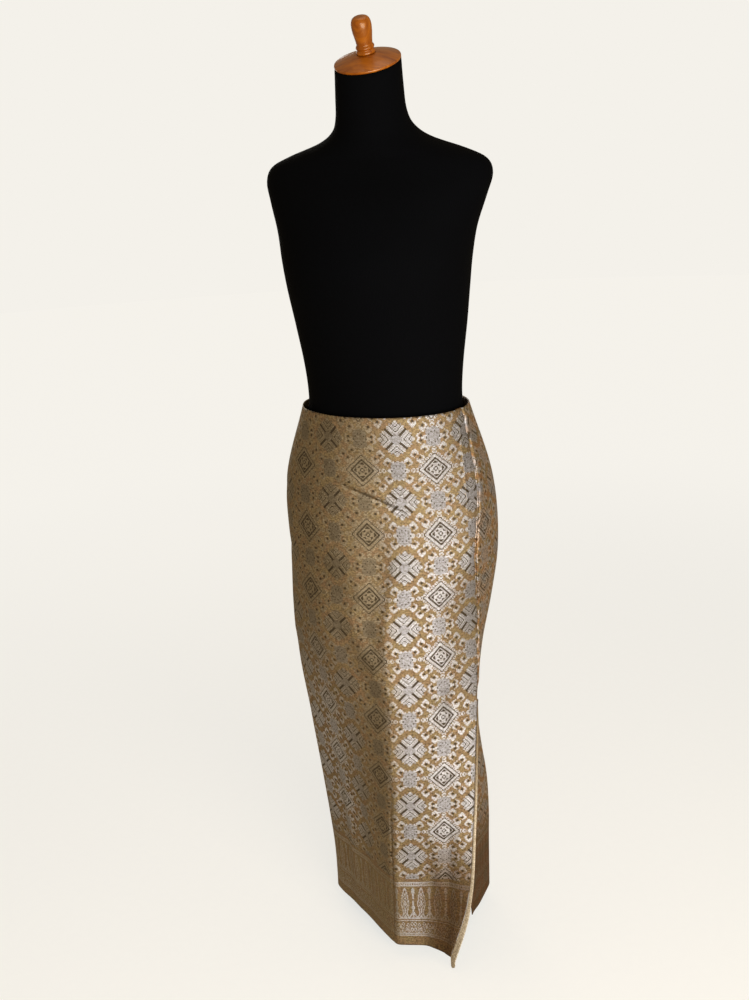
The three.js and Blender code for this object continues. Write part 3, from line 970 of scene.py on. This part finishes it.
def field_square(column, row):
    from_right = FIELD_COLUMNS - 1 - column
    from_bottom = FIELD_ROWS - 1 - row
    motifs = (star_square(column, row), diamond_square(from_right, from_bottom),
              rosette_square(from_right, row), rosette_square(column, from_bottom),
              leaf_square(column, row))
    return next((square for square in motifs if square != GROUND), GROUND)


field_chart = ["".join(field_square(column, row) for column in range(FIELD_COLUMNS))
               for row in range(FIELD_ROWS)]
print("\n".join(field_chart))

# %% [markdown]
# ## The border's charts
# Above the hem runs a border of bamboo-shoot spires, an old songket motif, with thin bulbs on stems between
# them. Below the spires lies a row of florets, and then a plain hem. Both charts are drawn, half a repeat
# wide.

# %% The border's charts
SPIRE_CHART = """
##########
.#.#.#.#.#
##########
..........
#........#
##......##
##......#.
##.....##.
#......#.#
#.....##.#
#.....#.#.
#.....#..#
......#.#.
#....##..#
#....#.#.#
#....#..##
#....#.#.#
##....#.#.
##....#..#
#.....##.#
#......#.#
##.....#.#
###....##.
#.##..##.#
#..####.##
##########
""".split()
FLORET_CHART = """
....................
####################
....................
.##.........##......
#..#..##...#..#..##.
#..#.#..#..#.##.#..#
.##..#.##...#..##..#
....#.#....#..####..
.##..#..##..##.##.##
#.##..###.#..#....#.
#..#.##.##..#.#..#.#
.##.#..#..#..##.#..#
.....##....##....##.
####################
.#.#.#.#.#.#.#.#.#.#
####################
....................
""".split()
print("border:", len(SPIRE_CHART), "rows of spires,", len(FLORET_CHART), "rows of florets")


# %% Groups that read a chart
# The last square ends at 1, so a place is kept a little below that.
BELOW_ONE = 0.001


def chart_group(name, chart, kind):
    """A group that says whether a square is of this kind, from two mirrored places of 0 to 1."""
    columns, rows = len(chart[0]), len(chart)
    graph, places, result = new_group(name, ON_CLOTH, {"square": FLOAT})
    column = graph.maths("FLOOR", graph.times(places["across"], columns - BELOW_ONE))
    row = graph.maths("FLOOR", graph.times(places["down"], rows - BELOW_ONE))
    ramp = graph.node("ShaderNodeValToRGB")
    ramp.color_ramp.interpolation = "CONSTANT"
    stops = ramp.color_ramp.elements
    for number, squares in enumerate(chart):
        stop = stops[number] if number < 2 else stops.new(number / rows)
        stop.position = number / rows
        numbers = [0, 0, 0]
        for index, square in enumerate(squares):
            if square == kind:
                numbers[index // SQUARES_A_NUMBER] += 2 ** (index % SQUARES_A_NUMBER)
        stop.color = [value / 2**SQUARES_A_NUMBER for value in numbers] + [1]
    graph.join(graph.maths("DIVIDE", graph.maths("ADD", row, 0.5), rows), ramp.inputs[0])
    split = graph.node("ShaderNodeSeparateColor")
    graph.join(ramp.outputs[0], split.inputs[0])
    third = graph.maths("FLOOR", graph.maths("DIVIDE", graph.maths("ADD", column, 0.5), SQUARES_A_NUMBER))
    packed = 0.0
    for number in range(math.ceil(columns / SQUARES_A_NUMBER)):
        here = graph.maths("COMPARE", third, float(number), 0.5)
        packed = graph.times(here, split.outputs[number], packed)
    whole = graph.maths("ROUND", graph.times(packed, 2**SQUARES_A_NUMBER))
    square = graph.maths("SUBTRACT", column, graph.times(third, SQUARES_A_NUMBER))
    shifted = graph.maths("FLOOR", graph.maths("DIVIDE", whole, graph.maths("POWER", 2.0, square)))
    graph.join(graph.maths("MODULO", shifted, 2.0), result["square"])
    return graph.tree


field_group = chart_group("field metal", field_chart, METAL)
field_soft_group = chart_group("field soft", field_chart, SOFT)
field_dark_group = chart_group("field dark", field_chart, DARK)
spire_group = chart_group("spire metal", SPIRE_CHART, METAL)
floret_group = chart_group("floret metal", FLORET_CHART, METAL)
print("chart groups:", field_group.name, spire_group.name, floret_group.name)

# %% [markdown]
# ## Threads
# Close up, the cloth is a rib of weft threads that run sideways. Where the pattern has metal thread on top,
# flat shining strips float over the ground and are tied down here and there by a thin warp. The group below
# makes that from the place on the cloth: a height for the bump, and a value that darkens the gaps between the
# ribs and the ties as painted shade.

# %% Groups for threads and for tone
WEFT_PITCH = 0.9 * MM
WARP_PITCH = 0.62 * MM
TIE_PITCH = 5.2 * MM
TIE_WIDTH = 0.055
# Each row of ties is shifted by this share of the pitch, so that the ties stand in no line.
TIE_SHIFT = 0.382
STREAK_SCALE = 190.0
SPARKLE_SCALE = 360
HUE_SCALE = 55


def thread_group():
    outputs = {"height": FLOAT, "thread": FLOAT, "glint": FLOAT, "hue": FLOAT}
    graph, place, result = new_group("songket threads", {**ON_CLOTH, "metal": (FLOAT, 0.0)}, outputs)
    across, down = place["across"], place["down"]
    ridge = graph.maths("ABSOLUTE", graph.maths("SINE", graph.times(down, math.pi / WEFT_PITCH)))
    warp = graph.maths("SINE", graph.times(across, 2 * math.pi / WARP_PITCH))
    row = graph.maths("FLOOR", graph.maths("DIVIDE", down, WEFT_PITCH))
    shifted = graph.maths("ADD", graph.maths("DIVIDE", across, TIE_PITCH), graph.times(row, TIE_SHIFT))
    tied = graph.maths("LESS_THAN", graph.maths("PINGPONG", shifted, 0.5), TIE_WIDTH)
    on_top = graph.times(place["metal"], graph.maths("SUBTRACT", 1.0, tied))
    streaks = graph.noise(graph.joined(graph.times(across, STREAK_SCALE), graph.times(row, 0.73)), 1.0, 1.0)
    flat = graph.joined(across, down)
    sparkle = graph.noise(flat, SPARKLE_SCALE, 1.0)
    both = graph.times(sparkle, 0.6, graph.times(streaks, 0.4))
    graph.join(graph.contrast(both, 0.36, 3.6), result["glint"])
    graph.join(graph.contrast(graph.noise(flat, HUE_SCALE, 2.0), 0.38, 4.2), result["hue"])
    ground = graph.times(warp, 0.16, graph.times(ridge, 0.62))
    raised = graph.times(on_top, graph.times(ridge, 0.35, 0.55))
    graph.join(graph.maths("ADD", ground, raised), result["height"])
    # Painted shade: darker in the gaps between the weft ribs and at the ties.
    graph.join(graph.times(tied, -0.55, graph.times(ridge, 0.25, 0.75)), result["thread"])
    return graph.tree


def tone_group():
    """Soft patches of lighter and darker colour, as dye, age and handling leave them."""
    inputs = {"place": ("NodeSocketVector", (0, 0, 0)), "strength": (FLOAT, 0.2)}
    graph, value, result = new_group("soft tone", inputs, {"tone": FLOAT})
    wide = graph.noise(value["place"], 9.0, 3.0)
    fine = graph.noise(value["place"], 130.0, 2.0, 0.6)
    both = graph.times(fine, 0.35, graph.times(wide, 0.65))
    away = graph.times(graph.maths("SUBTRACT", both, 0.5), value["strength"])
    graph.join(graph.maths("ADD", away, 1.0), result["tone"])
    return graph.tree


threads = thread_group()
tones = tone_group()
print("groups:", threads.name, "and", tones.name)

# %% [markdown]
# ## Songket
# The ground is a brown and gold rib, and the pattern is silvery metal thread. Metal mirrors its
# surroundings, so the same thread is nearly white where a fold turns it towards the light and darker than
# the ground where it does not. That is why the pattern is given by Metallic and Roughness as much as by
# colour.

# %% The pattern's place on the cloth
FIELD_WIDTH = 105 * MM
FIELD_HEIGHT = 99 * MM
FIRST_STAR = 30 * MM
FIELD_END = 768 * MM
SPIRES_START = 774 * MM
FLORETS_START = 849 * MM
BORDER_END = 886 * MM
SPIRE_WIDTH = FIELD_WIDTH / 4
FLORET_WIDTH = FIELD_WIDTH / 2


def folded(graph, value, repeat):
    """A place mirrored in each repeat, from 0 in the middle of one motif to 1 in the middle of the next."""
    half = repeat / 2
    return graph.maths("DIVIDE", graph.maths("PINGPONG", value, half), half)


def between(graph, value, start, end):
    """One where the value lies between start and end, and a place of 0 to 1 between them."""
    inside = graph.times(graph.maths("GREATER_THAN", value, start), graph.maths("LESS_THAN", value, end))
    return inside, graph.maths("DIVIDE", graph.maths("SUBTRACT", value, start), end - start, clamp=True)


def songket_pattern_group():
    outputs = {"metal": FLOAT, "soft": FLOAT, "dark": FLOAT}
    graph, place, result = new_group("songket pattern", ON_CLOTH, outputs)
    across, down = place["across"], place["down"]
    in_field = graph.maths("LESS_THAN", down, FIELD_END)
    field_place = {"across": folded(graph, across, FIELD_WIDTH),
                   "down": folded(graph, graph.maths("SUBTRACT", down, FIRST_STAR), FIELD_HEIGHT)}
    bright, soft, dark = (graph.times(use_group(graph, tree, **field_place)["square"], in_field)
                          for tree in (field_group, field_soft_group, field_dark_group))
    metal = graph.maths("ADD", bright, soft)
    borders = ((spire_group, SPIRE_WIDTH, SPIRES_START, FLORETS_START),
               (floret_group, FLORET_WIDTH, FLORETS_START, BORDER_END))
    for tree, width, start, end in borders:
        inside, depth = between(graph, down, start, end)
        square = use_group(graph, tree, across=folded(graph, across, width), down=depth)["square"]
        metal = graph.times(square, inside, metal)
    for socket, value in (("metal", metal), ("soft", soft), ("dark", dark)):
        graph.join(value, result[socket])
    return graph.tree


pattern = songket_pattern_group()

# %% [markdown]
# ## Painted shade, painted light and a redder tone
# A small group says how much of each there is at a place on the cloth: painted shade that browns the metal on
# the wearer's right, where the cloth turns away from the lamp; painted light low on that side, where the
# metal mirrors less and is browned less, as if it caught light from the left; a redder tone on the back panel
# towards the lap; and painted shade that darkens the corner at the slit near the hem. Each is a soft step
# along the cloth.

# %% Group for painted shade, painted light and a redder tone


def painted_light_and_rust_group():
    """Painted shade on the wearer's right and in the corner at the slit, painted light low on the right, and
    where the cloth is redder.
    """
    outputs = {"painted_right_shade": FLOAT, "painted_corner_shade": FLOAT, "rust": FLOAT, "painted_left_light": FLOAT}
    graph, place, result = new_group("songket wear", ON_CLOTH, outputs)
    across, down = place["across"], place["down"]
    rightwards = graph.times(across, -1.0)
    corner = graph.smooth_step(across, 2 * MM, 44 * MM)
    # Painted shade: the corner at the slit near the hem, where the cloth turns away from the lamp.
    graph.join(graph.times(corner, graph.smooth_step(down, 670 * MM, 820 * MM)), result["painted_corner_shade"])
    graph.join(graph.smooth_step(across, 112 * MM, 150 * MM), result["rust"])
    near_hem = graph.smooth_step(down, 690 * MM, 790 * MM)
    below = graph.times(graph.smooth_step(down, 260 * MM, 560 * MM), graph.times(near_hem, -0.75, 1.0))
    # Painted light: low on the wearer's right, less painted shade and a lower Metallic, as if the metal
    # caught light from the left.
    painted_left_light = graph.times(graph.smooth_step(rightwards, 50 * MM, 175 * MM), below)
    graph.join(painted_left_light, result["painted_left_light"])
    # Painted shade: browner metal on the wearer's right, where the cloth turns away from the lamp.
    right_shade = graph.smooth_step(rightwards, 0.0, 46 * MM)
    graph.join(graph.maths("SUBTRACT", right_shade, painted_left_light, clamp=True), result["painted_right_shade"])
    return graph.tree


painted_light_and_rust = painted_light_and_rust_group()

# %% Songket material
GROUND_BROWN = (0.135, 0.090, 0.046, 1)
GROUND_GOLD = (0.415, 0.308, 0.150, 1)
GROUND_RUST = (0.400, 0.255, 0.135, 1)
GROUND_BARE = (0.070, 0.048, 0.026, 1)
SILVER_THREAD = (0.730, 0.730, 0.765, 1)
SILVER_WARM = (0.350, 0.315, 0.280, 1)
# Tints for thread and cloth
SILVER_SOFT = (0.66, 0.65, 0.65, 1)
# Painted shade that browns the metal on the wearer's right
RIGHT_SHADE_TINT = (0.64, 0.53, 0.34, 1)
RUSTY = (1.24, 0.98, 0.74, 1)
# Painted shade that darkens the corner at the slit near the hem
CORNER_SHADE_TINT = (0.44, 0.36, 0.28, 1)
# How much the ground mirrors, and how much the thread, soft squares and the painted light low on the wearer's
# right add or take away
GROUND_METALLIC = 0.68
THREAD_METALLIC = 0.22
SOFT_METALLIC = -0.14
# Painted light: a lower Metallic low on the wearer's right, as if the metal caught light from the left
LEFT_LIGHT_METALLIC = -0.32


def place_on_cloth(graph):
    across, along = graph.split(graph.node("ShaderNodeUVMap", uv_map="cloth").outputs[0])[:2]
    return across, graph.times(along, -1.0)


def songket():
    material, graph, shader = new_material("songket", Specular_IOR_Level=0.3)
    across, down = place_on_cloth(graph)
    squares = use_group(graph, pattern, across=across, down=down)
    light_and_rust = use_group(graph, painted_light_and_rust, across=across, down=down)
    # Painted shade in the corner at the slit near the hem also takes away up to seven tenths of the metal.
    metal = graph.times(squares["metal"], graph.times(light_and_rust["painted_corner_shade"], -0.7, 1.0))
    weave = use_group(graph, threads, across=across, down=down, metal=metal)
    tone = use_group(graph, tones, place=object_place(graph), strength=0.45)["tone"]
    ground = graph.mix(weave["hue"], GROUND_GOLD, GROUND_RUST)
    ground = graph.mix(weave["glint"], GROUND_BROWN, ground)
    ground = graph.mix(squares["dark"], ground, GROUND_BARE)
    thread = graph.mix(weave["glint"], SILVER_WARM, SILVER_THREAD)
    thread = graph.mix(squares["soft"], thread, graph.tinted(thread, SILVER_SOFT))
    # Painted shade: the metal on the wearer's right is browned.
    thread = graph.mix(light_and_rust["painted_right_shade"], thread, graph.tinted(thread, RIGHT_SHADE_TINT))
    cloth = graph.mix(metal, ground, thread)
    # Painted shade: the corner at the slit near the hem is darkened.
    cloth = graph.mix(light_and_rust["painted_corner_shade"], cloth, graph.tinted(cloth, CORNER_SHADE_TINT))
    cloth = graph.mix(graph.times(light_and_rust["rust"], weave["hue"]), cloth, graph.tinted(cloth, RUSTY))
    # The weave's painted shade in its gaps and ties, times the random tone.
    cloth = graph.tinted(cloth, graph.times(weave["thread"], tone))
    mirrored = graph.times(metal, THREAD_METALLIC, GROUND_METALLIC)
    mirrored = graph.times(squares["soft"], SOFT_METALLIC, mirrored)
    # Painted light: low on the wearer's right the metal mirrors less.
    mirrored = graph.times(graph.times(metal, light_and_rust["painted_left_light"]), LEFT_LIGHT_METALLIC, mirrored)
    graph.join(mirrored, shader.inputs["Metallic"])
    rough = graph.times(weave["glint"], 0.06, graph.times(metal, -0.14, 0.49))
    surface(graph, shader, cloth, rough, weave["height"], 0.55, 0.35 * MM)
    return material


# %% The strip's material
# Where the painted highlight on the strip fades in, down the cloth
STRIP_HIGHLIGHT_FROM = 500 * MM
STRIP_HIGHLIGHT_TO = 690 * MM


def strip_cloth():
    """The strip is cut from the plain end of the cloth: gold rib, painted paler lower down as a highlight on
    its turned edge.
    """
    material, graph, shader = new_material("songket strip", Specular_IOR_Level=0.3, Metallic=0.35)
    across, down = place_on_cloth(graph)
    weave = use_group(graph, threads, across=across, down=down, metal=0.0)
    tone = use_group(graph, tones, place=object_place(graph), strength=0.5)["tone"]
    dull = graph.mix(weave["glint"], (0.13, 0.085, 0.04, 1), (0.30, 0.21, 0.11, 1))
    pale = graph.mix(weave["glint"], (0.40, 0.31, 0.19, 1), (0.80, 0.70, 0.54, 1))
    # Painted highlight: paler lower down, as light caught on the strip's turned edge.
    colour = graph.mix(graph.smooth_step(down, STRIP_HIGHLIGHT_FROM, STRIP_HIGHLIGHT_TO), dull, pale)
    # The weave's painted shade in its gaps and ties, times the random tone.
    colour = graph.tinted(colour, graph.times(weave["thread"], tone))
    rough = graph.times(weave["glint"], 0.15, 0.45)
    surface(graph, shader, colour, rough, weave["height"], 0.5, 0.3 * MM)
    return material


songket_material = songket()
strip_material = strip_cloth()
print("cloth materials:", songket_material.name, "and", strip_material.name)

# %% [markdown]
# ## Jersey, lacquered wood and painted steel
# Jersey is a fine knit: its stitches stand in columns, and the cloth drinks nearly all light. The wood is
# turned and lacquered, so a clear coat lies over the grain and mirrors the lamps sharply. The pole and the
# foot are steel with a dark satin paint, a little scuffed.

# %% Materials of the dress form


def jersey():
    material, graph, shader = new_material("black jersey", Metallic=0.0, Specular_IOR_Level=0.03)
    place = object_place(graph)
    tone = use_group(graph, tones, place=place, strength=0.7)["tone"]
    x, y, z = graph.split(place)
    turn = graph.maths("ARCTAN2", y, x)
    wale = graph.maths("ABSOLUTE", graph.maths("SINE", graph.times(turn, 190.0)))
    course = graph.maths("ABSOLUTE", graph.maths("SINE", graph.times(z, 2600.0)))
    knit = graph.times(course, 0.4, wale)
    shade = graph.times(tone, graph.times(knit, 0.25, 0.65))
    colour = graph.tinted((0.0013, 0.0014, 0.0018, 1), shade)
    surface(graph, shader, colour, graph.times(tone, 0.1, 0.75), knit, 0.35, 0.2 * MM)
    return material


def lacquered_wood():
    material, graph, shader = new_material("lacquered wood", Metallic=0.0, Coat_Weight=0.25,
                                           Coat_Roughness=0.1, Specular_IOR_Level=0.55,
                                           Specular_Tint=(1.0, 0.70, 0.34, 1))
    place = object_place(graph)
    tone = use_group(graph, tones, place=place, strength=0.5)["tone"]
    stretched = graph.node("ShaderNodeMapping")
    stretched.inputs["Rotation"].default_value = (math.radians(-NECK_TILT), 0, 0)
    stretched.inputs["Scale"].default_value = (30, 190, 30)
    graph.join(place, stretched.inputs["Vector"])
    grain = graph.noise(stretched.outputs[0], 1.0, 5.0, 0.65)
    ramp = graph.node("ShaderNodeValToRGB")
    stops = ((0.32, (0.165, 0.032, 0.0012, 1)), (0.68, (0.370, 0.103, 0.0030, 1)))
    for stop, (position, colour) in zip(ramp.color_ramp.elements, stops):
        stop.position = position
        stop.color = colour
    graph.join(grain, ramp.inputs[0])
    colour = graph.tinted(ramp.outputs[0], tone)
    surface(graph, shader, colour, graph.times(grain, 0.18, 0.28), grain, 0.12, 0.2 * MM)
    return material


def painted_steel():
    material, graph, shader = new_material("painted steel", Metallic=0.0, Specular_IOR_Level=0.5)
    place = object_place(graph)
    tone = use_group(graph, tones, place=place, strength=0.6)["tone"]
    scuffs = graph.noise(place, 420.0, 3.0, 0.7)
    scuffed = graph.maths("GREATER_THAN", scuffs, 0.68)
    paint = graph.tinted((0.016, 0.016, 0.018, 1), tone)
    colour = graph.mix(graph.times(scuffed, 0.6), paint, (0.09, 0.088, 0.085, 1))
    surface(graph, shader, colour, graph.times(scuffs, 0.25, 0.28), scuffs, 0.08, 0.1 * MM)
    return material


def sewing_thread():
    material, graph, shader = new_material("sewing thread", Metallic=0.0, Specular_IOR_Level=0.35)
    twist = graph.noise(object_place(graph), 2600.0, 1.0)
    colour = graph.mix(twist, (0.40, 0.30, 0.18, 1), (0.72, 0.60, 0.42, 1))
    surface(graph, shader, colour, graph.times(twist, 0.2, 0.45), twist, 0.3, 0.1 * MM)
    return material


jersey_material = jersey()
wood_material = lacquered_wood()
steel_material = painted_steel()
thread_material = sewing_thread()
print("form materials:", jersey_material.name, "and", wood_material.name, "and", steel_material.name)

# %% [markdown]
# ## Each piece on its node
# Every new piece says which solid it stands for, which finish it takes and that it belongs to the one rigid
# body.

# %% Pieces and finishes
fittings = (
    (front, "skirt_front", "songket", songket_material),
    (back, "skirt_back", "songket", songket_material),
    (strip, "slit_strip", "songket_edge", strip_material),
    (torso_piece, "form_torso", "jersey", jersey_material),
    (cap_piece, "form_cap", "lacquered_wood", wood_material),
    (knob_piece, "form_knob", "lacquered_wood", wood_material),
    (pole_piece, "form_pole", "stand_steel", steel_material),
    (foot_piece, "form_foot", "stand_steel", steel_material),
    (seam_stitches, None, "songket_edge", thread_material),
)
for piece, node, slot, material in fittings:
    piece.data.materials.append(material)
    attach(piece, "root")
    if node:
        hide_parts(node)
    print(piece.name, "stands for", node)

# %% The sheets of cloth
print("three sheets of cloth")

# %% [markdown]
# ## Floor and light
# A stiff, shining cloth is best lit from one side by a large soft lamp: the faces that turn to it flash, and
# the others stay calm. The floor is pale and plain, and grows into the same pale tone as the surroundings.

# %% Floor
FLOOR_RADIUS = 9
FLOOR_DROP = 0.3 * MM
FLOOR_FADE = (0.7, 3.2)
BACKGROUND = (0.905, 0.879, 0.823, 1)
BLACK = (0, 0, 0, 1)


def floor_material():
    material, graph, shader = new_material("pale floor", Roughness=0.9, Specular_IOR_Level=0.1,
                                           Emission_Strength=1.0)
    x, y = graph.split(object_place(graph))[:2]
    length = graph.node("ShaderNodeVectorMath", operation="LENGTH")
    graph.join(graph.joined(x, y), length.inputs[0])
    far = graph.smooth_step(length.outputs[1], *FLOOR_FADE)
    fibre = graph.noise(object_place(graph), 60.0, 3.0)
    near_colour = graph.mix(fibre, (0.325, 0.275, 0.205, 1), (0.345, 0.295, 0.220, 1))
    graph.join(graph.mix(far, near_colour, BLACK), shader.inputs["Base Color"])
    shown = graph.mix(far, (0.650, 0.672, 0.672, 1), BACKGROUND)
    thrown = graph.mix(far, (0.125, 0.097, 0.058, 1), (0.34, 0.268, 0.168, 1))
    seen = graph.node("ShaderNodeLightPath").outputs["Is Camera Ray"]
    graph.join(graph.mix(seen, thrown, shown), shader.inputs["Emission Color"])
    return material


disc = bmesh.new()
bmesh.ops.create_circle(disc, cap_ends=True, segments=96, radius=FLOOR_RADIUS)
bmesh.ops.translate(disc, vec=(0, 0, -FLOOR_DROP), verts=disc.verts)
floor = add_piece(disc, "floor")
floor.data.materials.append(floor_material())

# %% Lamps
# name, place, the point it is turned to, width, height, power, colour
LAMPS = (
    ("key softbox", (1.32, -1.76, 0.80), (0.0, 0, 0.55), 1.9, 1.5, 79, (1.0, 0.985, 0.96)),
    ("top softbox", (0.2, -0.2, 3.0), (0, 0, 0.8), 1.6, 1.6, 9, (1.0, 0.99, 0.97)),
    ("back softbox", (-1.5, 2.0, 1.5), (0, 0.05, 0.6), 0.9, 1.4, 9, (0.96, 0.98, 1.0)),
)
ROOM_LIGHT = (0.330, 0.262, 0.170, 1)

for name, place, target, width, height, power, colour in LAMPS:
    data = bpy.data.lights.new(name, "AREA")
    data.shape = "RECTANGLE"
    data.size = width
    data.size_y = height
    data.energy = power
    data.color = colour
    lamp = bpy.data.objects.new(name, data)
    lamp.location = place
    lamp.rotation_euler = (Vector(target) - Vector(place)).to_track_quat("-Z", "Y").to_euler()
    lamp.visible_camera = False
    bpy.context.collection.objects.link(lamp)

world = bpy.data.worlds.new("studio")
world.use_nodes = True
bpy.context.scene.world = world
sky = Graph(world.node_tree)
seen = sky.node("ShaderNodeLightPath").outputs["Is Camera Ray"]
room = world.node_tree.nodes["Background"]
sky.join(sky.mix(seen, ROOM_LIGHT, BACKGROUND), room.inputs["Color"])
print(len(LAMPS), "lamps and a dim room")

# %% [markdown]
# ## The end

# %% End


print("end of the script")
